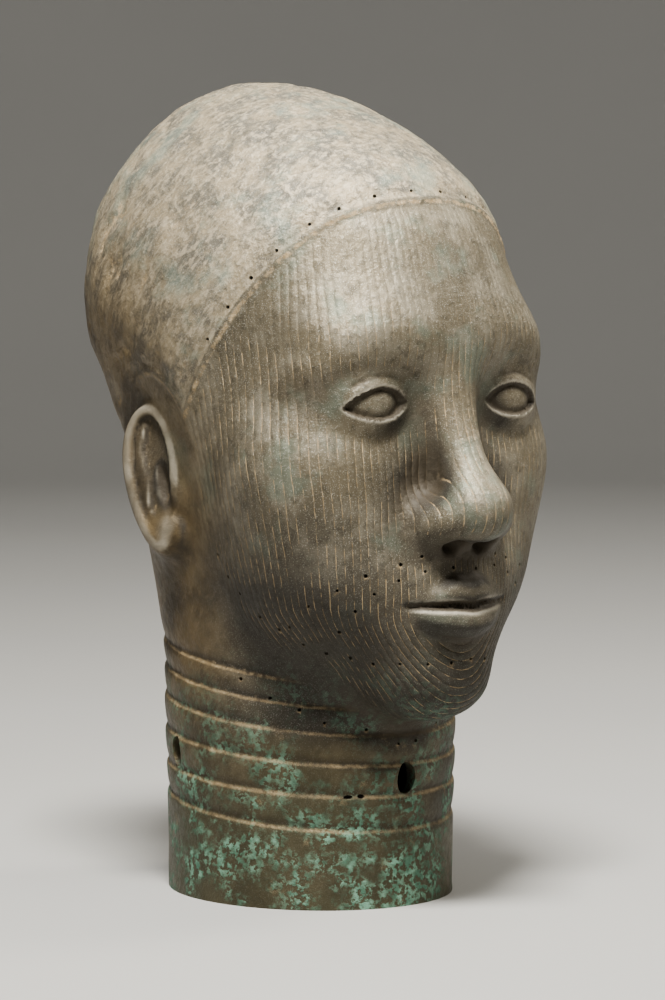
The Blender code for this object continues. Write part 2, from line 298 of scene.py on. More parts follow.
def head_form(p):
    """Cranium, face and jaw, without the features."""
    cranium = ellipsoid(p, (0, 7, 156), (68.5, 89.5, 69), lean=3)
    cranium = blend(cranium, ellipsoid(p, (0, 32, 166), (52, 65.5, 67)), 25)
    face = ellipsoid(p, (0, -21, 102), (63, 61, 90))
    form = blend(cranium, face, 30)
    for centre, radii, width in FACE_FORMS:
        form = blend(form, ellipsoid(p, centre, radii), width)
    return form


def ear_places(p):
    """A point as the ear at +X has it: outward, backward and up from its middle, and past its edge."""
    turn, tilt = np.radians(10), np.radians(12)
    x, y, z = p[0] - 59.5, p[1] - 13, p[2] - 88.5
    y, z = np.cos(tilt) * y - np.sin(tilt) * z, np.sin(tilt) * y + np.cos(tilt) * z
    out = np.cos(turn) * x - np.sin(turn) * y
    back = np.sin(turn) * x + np.cos(turn) * y
    wide = 12.6 * (1 + 0.15 * np.clip(z / 26, -1, 1))
    shaped = np.sqrt((back / wide) ** 2 + (z / 27) ** 2) + 1e-6
    steep = np.sqrt((back / wide**2) ** 2 + (z / 27**2) ** 2) + 1e-6
    return out, back, z, shaped * (shaped - 1) / steep


def ear_field(p):
    """One ear, the one at +X, and the hollow in it."""
    out, back, z, edge = ear_places(p)
    q = (out, back, z)
    plate = soft_max(edge + 1.2, out - 0.6, 1.5)
    plate = soft_max(plate, 0.45 * edge - 4 - out, 2)
    rim = np.hypot(edge + 2.0, out - 2.9) - 2.2
    rim = rim + 6 * ramp(-back, 2, 8) * ramp(-z, 1, 9)
    fold = np.hypot(edge + 6.8, out - 1.5) - 1.8
    fold = fold + 6 * ramp(-back, -3, 4)
    ear = blend(plate, rim, 1.8)
    ear = blend(ear, fold, 1.5)
    ear = blend(ear, ellipsoid(q, (1.5, -10.6, -6), (3.6, 2.6, 5.5)), 3)
    ear = blend(ear, ellipsoid(q, (1.6, -3.5, -20.5), (3.6, 5.6, 6.2)), 3)
    return ear, ellipsoid(q, (3.6, -3.2, -3), (7.8, 5.6, 10.5))


def round_ear(y, z):
    """How far out a place is from the ear's middle, 1 on the edge of the bare skin round it."""
    return np.sqrt(((y - 12) / 27) ** 2 + ((z - 92) / 36) ** 2)


def cap_side(p):
    """How far a point is inside the hair: behind its front edge, clear of the ear, above the nape."""
    x, y, z = p
    front = HAIR_BACK * (y + 11.4) + HAIR_UP * (z - 114)
    inside = soft_max(front, z - 194 + 0.0012 * x**2, 12)
    inside = -soft_max(-inside, -32 * (round_ear(y, z) - 1), 2)
    return -soft_max(-inside, -(z - 88), 8)


def head_field(p):
    """The head, in parts: its forms, features, ears and the raised edge and cover of the hair."""
    x, y, z = p
    p = (np.abs(x), y, z)
    form = head_form(p)
    form = blend(form, ellipsoid(p, (19, -69, 138), (27, 14, 10)), 28)
    form = carve(form, ellipsoid(p, (29, -99, 121), (19, 13.5, 11)), 20)
    inside = cap_side(p)
    form = form - CAP_STEP * ramp(inside, 0.3, 8)
    form = form - CAP_BEAD * np.exp(-(((inside - 0.3) / 1.3) ** 2))
    nose, nostril = nose_field(p)
    form = blend(form, nose, 11)
    form = carve(form, nostril, 1.8)
    ball, lids = eye_field(p)
    form = blend(form, lids, 4.5)
    form = blend(form, ball, 0.5)
    upper, lower, line = lip_fields(p)
    form = carve(form, capsule(p, (0, -99, 64), (0, -99.5, 56), 4.0, 4.6), 3)
    form = blend(form, upper, 1.8)
    form = blend(form, lower, 1.8)
    form = form + 1.5 * line
    ear, hollow = ear_field(p)
    return carve(blend(form, ear, 3), hollow, 1.8)


def neck_field(p):
    """The neck before its creases, in metres: a column that widens and leans back as it rises."""
    x, y, z = p
    up = (z - NECK_HEIGHT) / PART
    wide = 1.0 + 0.028 * ramp(up, -60, 10) + 0.03 * ramp(up, 10, 90)
    y = y - 7.5 * PART * ramp(up, 10, 100)
    a, b = NECK_HALF_WIDTH * wide, NECK_HALF_DEPTH * wide
    away = np.sqrt((x / a) ** 2 + (y / b) ** 2) + 1e-6
    steep = np.sqrt((x / a**2) ** 2 + (y / b**2) ** 2) + 1e-6
    return soft_max(away * (away - 1) / steep, (up - 104) * PART, 0.03)


def joined(head, neck, y):
    """Head and neck as one, in metres, with a wider fillet behind."""
    return blend(head, neck, 0.010 + 0.026 * ramp(y, -0.02, 0.05))


def bare_neck(head, neck):
    """1 where the neck stands clear of the head, 0 where the head covers it."""
    return ramp(head - neck, 0.0, 0.006)


def above_creases(p):
    """How far a point is above each crease in turn, from the lowest, in metres."""
    return [p[2] - level * NECK_HEIGHT - tilt * p[1] for level, tilt in CREASES]


def bronze_field(p):
    """The outside of the casting, in metres."""
    x, y, z = p
    head = head_field((x / PART, y / PART, (z - NECK_HEIGHT) / PART)) * PART
    neck = neck_field(p)
    metal = joined(head, neck, y)
    shown = bare_neck(head, neck) * CREASE_DEPTH
    for above in above_creases(p):
        metal = metal + shown * np.exp(-np.maximum(above / CREASE_SLOPE, -above / CREASE_LIP))
    return metal


def parted(value):
    """The sampled values, made negative wherever the metal would meet itself along one bare edge."""
    for _ in range(9):
        inside = value < 0
        filled = 0
        for a, b in ((0, 1), (1, 2), (0, 2)):
            near, far_a, far_b, far = [[slice(None)] * 3 for _ in range(4)]
            for corner, ends in ((near, (0, 0)), (far_a, (1, 0)), (far_b, (0, 1)), (far, (1, 1))):
                for axis, end in zip((a, b), ends):
                    corner[axis] = slice(1, None) if end else slice(None, -1)
            first = inside[tuple(near)]
            other = inside[tuple(far_a)]
            clash = (first == inside[tuple(far)]) & (other == inside[tuple(far_b)]) & (first != other)
            at = np.argwhere(clash)
            at[:, a] += first[clash]
            value[tuple(at.T)] = -1e-5
            filled += len(at)
        if not filled:
            break
    return value


def surface_net(field, low, high, step):
    """Points and four-sided faces of the surface where the field is zero."""
    axes = [np.arange(a, b + step, step) for a, b in zip(low, high)]
    value = np.empty([len(a) for a in axes], np.float32)
    for k, z in enumerate(axes[2]):
        x, y = np.meshgrid(axes[0], axes[1], indexing="ij")
        value[:, :, k] = field((x, y, np.full_like(x, z)))
    value = parted(value)
    cells = [n - 1 for n in value.shape]
    total = np.zeros(cells + [3], np.float32)
    count = np.zeros(cells, np.int16)
    crossings = []
    for axis in range(3):
        first = np.take(value, range(value.shape[axis] - 1), axis)
        second = np.take(value, range(1, value.shape[axis]), axis)
        at = np.argwhere((first < 0) != (second < 0))
        v0 = first[tuple(at.T)]
        v1 = second[tuple(at.T)]
        point = np.stack([axes[i][at[:, i]] for i in range(3)], 1)
        point[:, axis] += step * v0 / (v0 - v1)
        crossings.append((axis, at, v0 < 0))
        others = [i for i in range(3) if i != axis]
        for da in (0, -1):
            for db in (0, -1):
                cell = at.copy()
                cell[:, others[0]] += da
                cell[:, others[1]] += db
                np.add.at(total, tuple(cell.T), point)
                np.add.at(count, tuple(cell.T), 1)
    used = count > 0
    index = np.full(cells, -1)
    index[used] = np.arange(used.sum())
    points = total[used] / count[used][:, None]
    faces = []
    for axis, at, inside_first in crossings:
        others = [(axis + 1) % 3, (axis + 2) % 3]
        corners = []
        for da, db in ((-1, -1), (0, -1), (0, 0), (-1, 0)):
            cell = at.copy()
            cell[:, others[0]] += da
            cell[:, others[1]] += db
            corners.append(index[tuple(cell.T)])
        quad = np.stack(corners, 1)
        quad[~inside_first] = quad[~inside_first][:, ::-1]
        faces.append(quad)
    return points.astype(np.float64), np.concatenate(faces)


def onto_surface(field, points, step, rounds=3):
    """The points moved along the field's slope until it is zero there."""
    for _ in range(rounds):
        here = field(tuple(points.T))
        slope = np.empty_like(points)
        for axis in range(3):
            moved = points.copy()
            moved[:, axis] += step
            slope[:, axis] = (field(tuple(moved.T)) - here) / step
        length = np.maximum((slope**2).sum(1), 0.05)
        points = points - slope * np.clip(here / length, -4 * step, 4 * step)[:, None]
    return points


def triangles(quads):
    """Each four-sided face as two triangles."""
    return np.concatenate([quads[:, [0, 1, 2]], quads[:, [0, 2, 3]]])


def relaxed(field, points, faces, step, rounds):
    """The points drawn to the middle of their neighbours and set back on the surface, a few times."""
    pairs = np.concatenate([faces[:, [0, 1]], faces[:, [1, 2]], faces[:, [2, 0]]])
    share = np.bincount(pairs[:, 0], minlength=len(points))[:, None]
    for _ in range(rounds):
        around = np.zeros_like(points)
        np.add.at(around, pairs[:, 0], points[pairs[:, 1]])
        points = onto_surface(field, (points + around / share) / 2, step, 2)
    return points


def outside(p):
    """The casting's outside, run on below the floor so that the ground can cut it flat."""
    return soft_max(bronze_field(p), -BELOW - p[2], 0.004)


def inside(p):
    """The hollow: the plain forms of head and neck, one wall's thickness in, open at the foot."""
    x, y, z = p
    form = head_form((np.abs(x) / PART, y / PART, (z - NECK_HEIGHT) / PART)) * PART
    return soft_max(joined(form, neck_field(p), y) + WALL, -1.5 * BELOW - z, 0.004)


def edges_of(faces):
    """Every edge once, and the three edges of each face."""
    ends = np.concatenate([faces[:, [0, 1]], faces[:, [1, 2]], faces[:, [2, 0]]])
    edges, index = np.unique(np.sort(ends, 1), axis=0, return_inverse=True)
    return edges, index.reshape(3, -1).T


def refined(points, faces, wanted):
    """Faces halved across their longest edges until no edge is much longer than wanted there."""
    edges, of_face = edges_of(faces)
    span = points[edges[:, 1]] - points[edges[:, 0]]
    length = np.sqrt((span**2).sum(1))
    middle = points[edges].mean(1)
    marked = length > EDGE_SLACK * wanted(middle)
    longest = np.argmax(length[of_face], 1)
    longest_edge = of_face[np.arange(len(faces)), longest]
    while True:
        more = marked[of_face].any(1) & ~marked[longest_edge]
        if not more.any():
            break
        marked[longest_edge[more]] = True
    return split(points, faces, edges, of_face, marked, middle[marked], longest)


def split(points, faces, edges, of_face, marked, placed, first):
    """Each marked edge gets the point placed for it, and the faces on it are cut to suit.

    first says which edge of a face leads where two are marked: the face is cut from its point.
    """
    mid = np.full(len(edges), -1)
    mid[marked] = len(points) + np.arange(marked.sum())
    points = np.concatenate([points, placed])
    m = mid[of_face]
    n = (m >= 0).sum(1)
    out = [faces[n == 0]]
    rows = np.arange(len(faces))[:, None]
    order = (first[:, None] + np.arange(3)) % 3
    v0, v1, v2 = faces[rows, order].T
    m0, m1, m2 = m[rows, order].T
    s0, s1, s2 = (k >= 0 for k in (m0, m1, m2))
    cuts = (
        ((n == 1) & s0, ((v0, m0, v2), (m0, v1, v2))),
        ((n == 1) & s1, ((v0, v1, m1), (v0, m1, v2))),
        ((n == 1) & s2, ((v0, v1, m2), (m2, v1, v2))),
        ((n == 2) & s0 & s1, ((m0, v1, m1), (v0, m0, v2), (m0, m1, v2))),
        ((n == 2) & s0 & s2, ((v0, m0, m2), (m0, v1, v2), (m0, v2, m2))),
        ((n == 2) & s1 & s2, ((m1, v2, m2), (v0, v1, m1), (v0, m1, m2))),
        ((n == 3), ((v0, m0, m2), (m0, v1, m1), (m2, m1, v2), (m0, m1, m2))),
    )
    for pick, made in cuts:
        for corners in made:
            out.append(np.stack([c[pick] for c in corners], 1))
    return points, np.concatenate(out)


def cut_along(points, faces, value, wanted, level, spacing):
    """The faces cut along every line where value is level plus a whole number of spacings."""
    for _ in range(8):
        edges, of_face = edges_of(faces)
        a, b = value[edges[:, 0]], value[edges[:, 1]]
        low, high = np.minimum(a, b), np.maximum(a, b)
        line = np.ceil((low - level) / spacing + 1e-4) * spacing + level
        marked = (line < high - 1e-4 * spacing) & wanted[edges].all(1)
        if not marked.any():
            break
        t = ((line - a) / np.where(b == a, 1, b - a))[marked]
        placed = points[edges[marked, 0]] * (1 - t)[:, None] + points[edges[marked, 1]] * t[:, None]
        first = np.zeros(len(faces), int)
        points, faces = split(points, faces, edges, of_face, marked, placed, first)
        value = np.concatenate([value, line[marked]])
        wanted = np.concatenate([wanted, np.ones(marked.sum(), bool)])
    return points, faces, value, wanted


def parts_of(points):
    """Points of the model in head parts, with the neck's axis at zero."""
    x, y, z = points.T
    return x / PART, (y - NECK_BACK) / PART, (z - NECK_HEIGHT) / PART


def one_side(points):
    """Points of the model in head parts, with both sides laid on the one at +X."""
    x, y, z = parts_of(points)
    return np.abs(x), y, z


def metres_of(points):
    """Points of the model in metres, with the neck's axis at zero."""
    return points[:, 0], points[:, 1] - NECK_BACK, points[:, 2]


def normals_of(points, step=0.0003):
    """The plain surface's outward unit normals at or near those points."""
    out = np.empty_like(points)
    for axis in range(3):
        ahead, behind = points.copy(), points.copy()
        ahead[:, axis] += step
        behind[:, axis] -= step
        out[:, axis] = bronze_field(metres_of(ahead)) - bronze_field(metres_of(behind))
    return out / np.maximum(np.linalg.norm(out, axis=1), 1e-9)[:, None]


def hit(turn, level):
    """Where level beams to the head's axis, each from a turn round it, 0 at the nose, meet the bronze."""
    turn, level = np.radians(np.array(turn, float)), np.array(level, float)
    way = np.stack([np.sin(turn), -np.cos(turn), 0 * turn], 1)
    back = 0 * turn + FACE_AXIS * PART + NECK_BACK
    axis = np.stack([0 * turn, back, level * PART + NECK_HEIGHT], 1)
    far = np.full(len(turn), BEAM_START)
    for _ in range(BEAM_STEPS):
        far = far - BEAM_PACE * bronze_field(metres_of(axis + way * far[:, None]))
    return axis + way * far[:, None]


def hairline_places():
    """Points a little inside the edge of the hair cap, one hole's spacing apart, over one side."""
    turns = np.arange(0, 82, 2)
    found = []
    for turn in turns:
        levels = np.arange(104, 204, 2)
        places = hit(np.full(len(levels), turn), levels)
        side = cap_side(parts_of(places)) - HAIR_HOLE_INSET
        edge = np.flatnonzero((side[:-1] < 0) & (side[1:] >= 0))
        if len(edge):
            k = edge[-1]
            t = side[k] / (side[k] - side[k + 1])
            found.append(places[k] * (1 - t) + places[k + 1] * t)
    found = np.array(found)
    along = np.concatenate([[0], np.cumsum(np.linalg.norm(np.diff(found, axis=0), axis=1))])
    wanted = np.arange(0.5 * HAIR_HOLE_SPACING, along[-1], HAIR_HOLE_SPACING)
    wanted = wanted + random.normal(0, 0.0009, len(wanted))
    return np.stack([np.interp(wanted, along, found[:, i]) for i in range(3)], 1)


def face_hole_places():
    """Places of the holes in the rows on cheek, lip and jaw, over one side."""
    turns = np.concatenate([row[0] for row in HOLE_ROWS])
    levels = np.concatenate([row[1] for row in HOLE_ROWS])
    turns = turns + random.normal(0, 0.35, len(turns))
    return hit(turns, levels + random.normal(0, 0.4, len(turns)))


def mirrored(places):
    """The places and, a little unsteadily, their mirror images on the other side."""
    other = places * (-1, 1, 1)
    return np.concatenate([places, other + random.normal(0, 0.0004, other.shape)])


def bar(form, start, way, across, tall, depth, sides):
    """A bar of oval section from start along way, added to form."""
    turn = Vector(way).to_track_quat("Z", "Y").to_matrix().to_4x4()
    place = Matrix.Translation(Vector(start) + Vector(way) * depth / 2) @ turn
    place = place @ Matrix.Diagonal((across, tall, 1, 1))
    round_bar = {"radius1": 0.5, "radius2": 0.5, "segments": sides, "cap_ends": True}
    bmesh.ops.create_cone(form, depth=depth, matrix=place, **round_bar)


def flaw_pits(form):
    """Two rough flat lumps side by side at the casting flaw, added to form."""
    flaw = Vector(hit([FLAW_TURN], [FLAW_LEVEL])[0])
    angle = math.radians(FLAW_TURN)
    along = Vector((math.cos(angle), math.sin(angle), 0))
    turn = Matrix.Rotation(angle, 4, "Z")
    for off, long in FLAW_PITS:
        shape = Matrix.Diagonal((long, FLAW_HALF_DEPTH, FLAW_HALF_HEIGHT, 1))
        place = Matrix.Translation(flaw + off * along) @ turn @ shape
        for corner in bmesh.ops.create_icosphere(form, subdivisions=2, radius=1)["verts"]:
            corner.co = place @ (corner.co * random.uniform(0.82, 1.12))


def cutters(small):
    """One mesh object of what is cut out of the casting: peg holes, small holes, flaw and the ground."""
    form = bmesh.new()
    for turn, level in PEG_HOLES:
        angle = math.radians(turn)
        way = Vector((math.sin(angle), math.cos(angle), 0))
        start = Vector((0, NECK_BACK, level * NECK_HEIGHT)) - PEG_HOLE_START * way
        bar(form, start, way, PEG_HOLE_WIDTH, PEG_HOLE_HEIGHT, PEG_HOLE_LENGTH, 40)
    inward = -normals_of(small)
    for place, way in zip(small, inward):
        size = SMALL_HOLE * random.uniform(0.85, 1.15)
        bar(form, place - SMALL_HOLE_START * way, way, size, size, SMALL_HOLE_DEPTH, 9)
    flaw_pits(form)
    wide = 4 * NECK_HALF_DEPTH
    place = Matrix.Translation((0, 0, -2 * BELOW)) @ Matrix.Diagonal((wide, wide, 4 * BELOW, 1))
    bmesh.ops.create_cube(form, size=1, matrix=place)
    made = mesh_object("cutters", [], [])
    form.to_mesh(made.data)
    form.free()
    return made


def mesh_object(name, points, faces):
    """A mesh object of those points and faces, in the scene."""
    mesh = bpy.data.meshes.new(name)
    mesh.from_pydata(points, [], faces)
    made = bpy.data.objects.new(name, mesh)
    bpy.context.scene.collection.objects.link(made)
    return made


def arrays_of(made):
    """Points and three-sided faces of the object as its modifiers leave it."""
    form = bmesh.new()
    shown = made.evaluated_get(bpy.context.evaluated_depsgraph_get())
    form.from_mesh(shown.to_mesh())
    bmesh.ops.triangulate(form, faces=form.faces[:])
    form.verts.index_update()
    points = np.array([v.co for v in form.verts])
    faces = np.array([[v.index for v in f.verts] for f in form.faces])
    form.free()
    shown.to_mesh_clear()
    return points, faces


def edge_length(points):
    """How long the edges may be, finer where there is more to show."""
    p = one_side(points)
    side = cap_side(p)
    size = np.where(side > 0, CAP_EDGE, SKIN_EDGE)
    for centre, radii, finest in FINE_OVALS:
        near = sum(((v - c) / r) ** 2 for v, c, r in zip(p, centre, radii)) < 1
        size[near] = np.minimum(size[near], finest)
    near = np.abs(side) < 3
    size[near] = np.minimum(size[near], HAIRLINE_EDGE)
    size[points[:, 2] < 0.004] = RIM_EDGE
    for above in above_creases(metres_of(points)):
        near = (above < 0.0022) & (above > -0.0018)
        size[near] = np.minimum(size[near], CREASE_EDGE)
    return size


def lined_share(points):
    """How far the upright lines cover a place: all the face but eyes, lips and under the nose."""
    x, y, z = one_side(points)
    turn = np.degrees(np.arctan2(x, FACE_AXIS - y))
    share = ramp(-cap_side((x, y, z)), 2.0, 3.4)
    share *= ramp(96 - turn, 0, 8)
    share *= ramp(round_ear(y, z), 0.85, 0.95)
    share *= ramp(((x - 31) / 20) ** 2 + ((z - 119) / 12) ** 2, 1.0, 1.25)
    upper, lower, _ = lip_fields((x, y, z))
    share *= ramp(np.minimum(upper, lower), 0.9, 2.2)
    under_nose = (x < 21) & (z > 62) & (z < 71.5) & (y < -78)
    share[under_nose] = 0
    apart = neck_field(metres_of(points)) - head_field((x, y, z)) * PART
    return share * ramp(apart, 0.003, 0.009)


def line_value(points):
    """A number that is the same all along each face line: upright on the face, a U under the mouth."""
    x, y, z = one_side(points)
    turn = np.arctan2(x, FACE_AXIS - y)
    across = LINE_ROUND * (turn - 0.125 * turn**2) * (1 + 0.0014 * (120 - z))
    under = 46 * np.arctan2(np.maximum(45 - z, 0), np.hypot(np.maximum(-y - 50, 0), 20))
    return np.hypot(across, under)


def noise_at(points, length, seed=0.0, along=1.0):
    """Smooth noise between about -1 and 1 for each point, of that wavelength in metres.

    along is how many times longer it runs beside the hair edge than across it.
    """
    x, y, z = points.T
    across = HAIR_BACK * y + HAIR_UP * z
    beside = (HAIR_BACK * z - HAIR_UP * y) / along
    scaled = (np.stack([x, across, beside], 1) / length + seed).tolist()
    return np.array([noise.noise(place) for place in scaled])


def grooves(points, faces):
    """The faces cut along the face lines, and how deep in a line each point is, from 0 to 1."""
    front = lined_share(points) > 0.02
    points, faces = cut_along(points, faces, points[:, 0], front, 0.0, 1.0)[:2]
    value = line_value(points)
    unsteady = 0.5 * noise_at(points, 0.016) + 0.25 * noise_at(points, 0.006, 3.7)
    value = value + unsteady * ramp(value, 1, 9)
    share = lined_share(points)
    outer = bronze_field(metres_of(points)) > -0.0002
    wanted = (share > 0.02) & outer & (points[:, 2] > 0.002)
    for level in (-LINE_HALF_WIDTH, LINE_HALF_WIDTH, 0):
        level = level + LINE_SPACING / 2
        points, faces, value, wanted = cut_along(points, faces, value, wanted, level, LINE_SPACING)
    off = np.abs((value / LINE_SPACING) % 1 - 0.5) * LINE_SPACING
    groove = np.clip(1 - off / LINE_HALF_WIDTH, 0, 1)
    groove *= lined_share(points) * wanted
    worn = ramp(noise_at(points, 0.011, 9.1), -0.75, 0.15)
    brow = ramp(parts_of(points)[2], 130, 168)
    return points, faces, groove * (0.50 + 0.50 * worn) * (1 - 0.4 * brow)


def skin_height(points):
    """How far the cast skin stands proud of the plain form, in metres, and where it is pitted."""
    x, y, z = one_side(points)
    cap = ramp(cap_side((x, y, z)), 2, 9)
    rough = cap * (0.40 + 0.60 * ramp(y + 0.5 * (150 - z), -50, 30))
    broad = noise_at(points, BROAD)
    middle = noise_at(points, MIDDLE, 5.3, 1.8)
    small = noise_at(points, SMALL, 1.9, 2.2)
    flakes = noise_at(points, FLAKE, 7.7, 1.8)
    height = 0.00016 * broad + 0.00006 * middle
    height += rough * sum(high * wave for high, wave in zip(LUMPS, (broad, middle, small, flakes)))
    pit = ramp(-small - 0.5 * middle - 0.3 * flakes, 0.20, 0.60)
    scar = ramp(-np.abs(middle + 0.5 * broad), -0.09, 0.0) * ramp(broad, -0.3, 0.2)
    height -= rough * (PIT_DEPTH * pit + SCAR_DEPTH * scar)
    neck = ramp(-z, -8, 8)
    worn = neck * ramp(-small - 0.4 * flakes, 0.30, 0.60)
    height += neck * (0.00012 * middle + 0.00006 * flakes) - NECK_WEAR * worn
    return height, rough * (0.7 * pit + 0.5 * scar) + 0.35 * worn


def ear_marks(points):
    """How far each point is on an ear's rim or lobe, which take rubbed wear and a painted highlight, in
    the furrow inside the rim, and in the bowl, which take painted shade and some dark patina.
    """
    out, back, up, edge = ear_places(one_side(points))
    on_ear = ramp(out, 0.0, 1.5) * ramp(-edge, -1.5, 0)
    front = ramp(-back, 2, 8) * ramp(-up, 1, 9)
    rim = 0.65 * ramp(edge, -4.4, -1.8) * (1 - front)
    lobe = 0.5 * np.exp(-(((back + 3.5) / 5) ** 2) - ((up + 20.5) / 6) ** 2)
    furrow = np.exp(-(((edge + 4.6) / 1.1) ** 2)) * (1 - front) * ramp(up, -20, -12)
    bowl = ramp(-edge, 3.0, 5.0) * ramp(up, -18, -10)
    worn = 0.75 + 0.5 * noise_at(points, 0.006, 2.2)
    return on_ear * np.maximum(rim, lobe) * worn, on_ear * furrow, on_ear * bowl


def bend(points, reach):
    """How the plain surface is bent at each point, one over metres: ridges above zero, hollows below."""
    total = -6 * bronze_field(metres_of(points))
    for axis in range(3):
        for way in (-reach, reach):
            moved = points.copy()
            moved[:, axis] += way
            total += bronze_field(metres_of(moved))
    return total / reach**2


def shelter(points, normals):
    """How deep in the recesses each point sits, 0 in the open, by the metal that stands out from it: the
    mask for painted shade in recesses.
    """
    total = 0
    for far, weight in ((0.0025, 0.35), (0.006, 0.4), (0.012, 0.25)):
        free = bronze_field(metres_of(points + normals * far))
        total += weight * np.clip(1 - free / far, 0, 1)
    return total


def crease_count(points):
    """Which crease a point is at, counted from the lowest: whole on a crease, between them on a ring."""
    above = above_creases(metres_of(points))
    count = np.clip(above[0] / 0.012, -0.45, 0)
    for low, high in zip(above, above[1:]):
        count = count + np.clip(low / (low - high), 0, 1)
    return count + np.clip(above[-1] / 0.012, 0, 0.45)


def painted_shade_and_patina_share(points, normals):
    """Painted shade, with some dark patina: ear hollow, jaw, under the jaw, the neck below the chin, and
    faces turned down low on the head.
    """
    x, y, z = parts_of(points)
    # Painted shade, partly dark patina, in the ear's hollow, over the jaw but less round the mouth, and
    # on the neck's side below the chin.
    hollow = ramp(-ear_field(one_side(points))[1], -1.2, 1.5)
    mouth = np.exp(-((x / 28) ** 2) - ((z - 50) / 20) ** 2) * ramp(-y, 60, 85)
    jaw = ramp(-z, -86, -40) * ramp(z, -14, 2) * ramp(-y, 4, 45) * (1 - 0.6 * mouth)
    turned = 0.85 * ramp(x, 2, 30) * ramp(-z, 0, 10) * ramp(z, -50, -34)
    kept = np.maximum(np.maximum(hollow, jaw), turned)
    # Painted shadow of the chin and jaw: metal that stands out within far of a point.
    far = 0.035
    free = bronze_field(metres_of(points + normals * far))
    under_chin = ramp(1 - free / far, 0.10, 0.60)
    # Painted shade on faces that turn down, low on the head.
    faces_down = ramp(-normals[:, 2], -0.22, 0.40) * ramp(-z, -96, -50)
    faces_down *= ramp(z, -12, 4) * ramp(-y, -20, 30)
    return np.maximum(kept, np.maximum(under_chin, faces_down))


def dirt_share(points, small, pitted):
    """How much earth is caught at each point: in corners, in pits and round the small holes."""
    z = parts_of(points)[2]
    dirt = 0.45 * ramp(-bend(points, 0.0016), 150, 600)
    dirt *= (1 - ramp(-z, -8, 4))
    for place in small:
        below = np.linalg.norm(points - place - (0, 0, -0.0007), axis=1)
        dirt = np.maximum(dirt, 0.7 * np.exp(-((below / 0.0011) ** 2)))
    return np.clip(np.maximum(dirt, pitted), 0, 1)


def places_of_tone(points):
    """Where the bronze is warm brown, and where green sits, each from 0 to 1."""
    x, y, z = parts_of(points)
    nape = ramp(y, -50, 5) * ramp(-z, -128, -80)
    above_ear = 0.65 * ramp(-round_ear(y, z), -1.04, -0.94)
    behind = 0.95 * ramp(y, -42, 38) * ramp(-z, -215, -130)
    warm = np.maximum.reduce([nape, above_ear, behind, 0.85 * ramp(-z, -20, 12)])
    low = ramp(-points[:, 2], -0.105, -0.010)
    turned = 0.55 + 0.45 * ramp(-x - 0.4 * y, -40, 30)
    return warm, np.clip(low * turned * 1.1, 0, 1)


def hollow_shade_share(points):
    """1 in the hollow, in the holes and in the casting flaw, and 0 on the outer skin: where painted shade
    goes.
    """
    depth = -bronze_field(metres_of(points))
    away = np.linalg.norm(points - hit([FLAW_TURN], [FLAW_LEVEL]), axis=1)
    flaw = ramp(depth, 0.0002, 0.0006) * ramp(-away, -0.010, -0.008)
    return np.maximum(ramp(depth, 0.0009, 0.0022), flaw)


def outer_skin():
    """The casting's outside, finer where there is more to show."""
    low, high = net_box()
    points, quads = surface_net(outside, low, high, NET_STEP)
    faces = triangles(quads)
    points = relaxed(outside, points, faces, 0.0003, 3)
    for _ in range(3):
        points, faces = refined(points + (0, NECK_BACK, 0), faces, edge_length)
        points = relaxed(outside, points - (0, NECK_BACK, 0), faces, 0.0002, 2)
    return points + (0, NECK_BACK, 0), faces


def net_box():
    """Two corners of a box round the casting, half a step off so that both sides match."""
    half = (np.ceil(HALF_ROOM / NET_STEP) - 0.5) * NET_STEP
    low = (-half, -FRONT_ROOM, -2 * BELOW - NET_STEP / 2)
    return low, (half, FRONT_ROOM, NECK_HEIGHT + 1.05 * HEAD_HEIGHT)


def cut_out(points, faces, small):
    """The skin with the hollow, the holes and the ground taken out of it."""
    low, high = net_box()
    inner, quads = surface_net(inside, low, high, HOLLOW_STEP)
    inner = relaxed(inside, inner, triangles(quads), HOLLOW_STEP / 10, 3) + (0, NECK_BACK, 0)
    skin = mesh_object("skin", points.tolist(), faces.tolist())
    hollow = mesh_object("hollow", inner.tolist(), triangles(quads).tolist())
    tools = [hollow, cutters(small)]
    for tool in tools:
        cut = skin.modifiers.new(tool.name, "BOOLEAN")
        cut.operation = "DIFFERENCE"
        cut.solver = "MANIFOLD"
        cut.object = tool
    points, faces = arrays_of(skin)
    for made in (skin, *tools):
        bpy.data.objects.remove(made)
    return points, faces


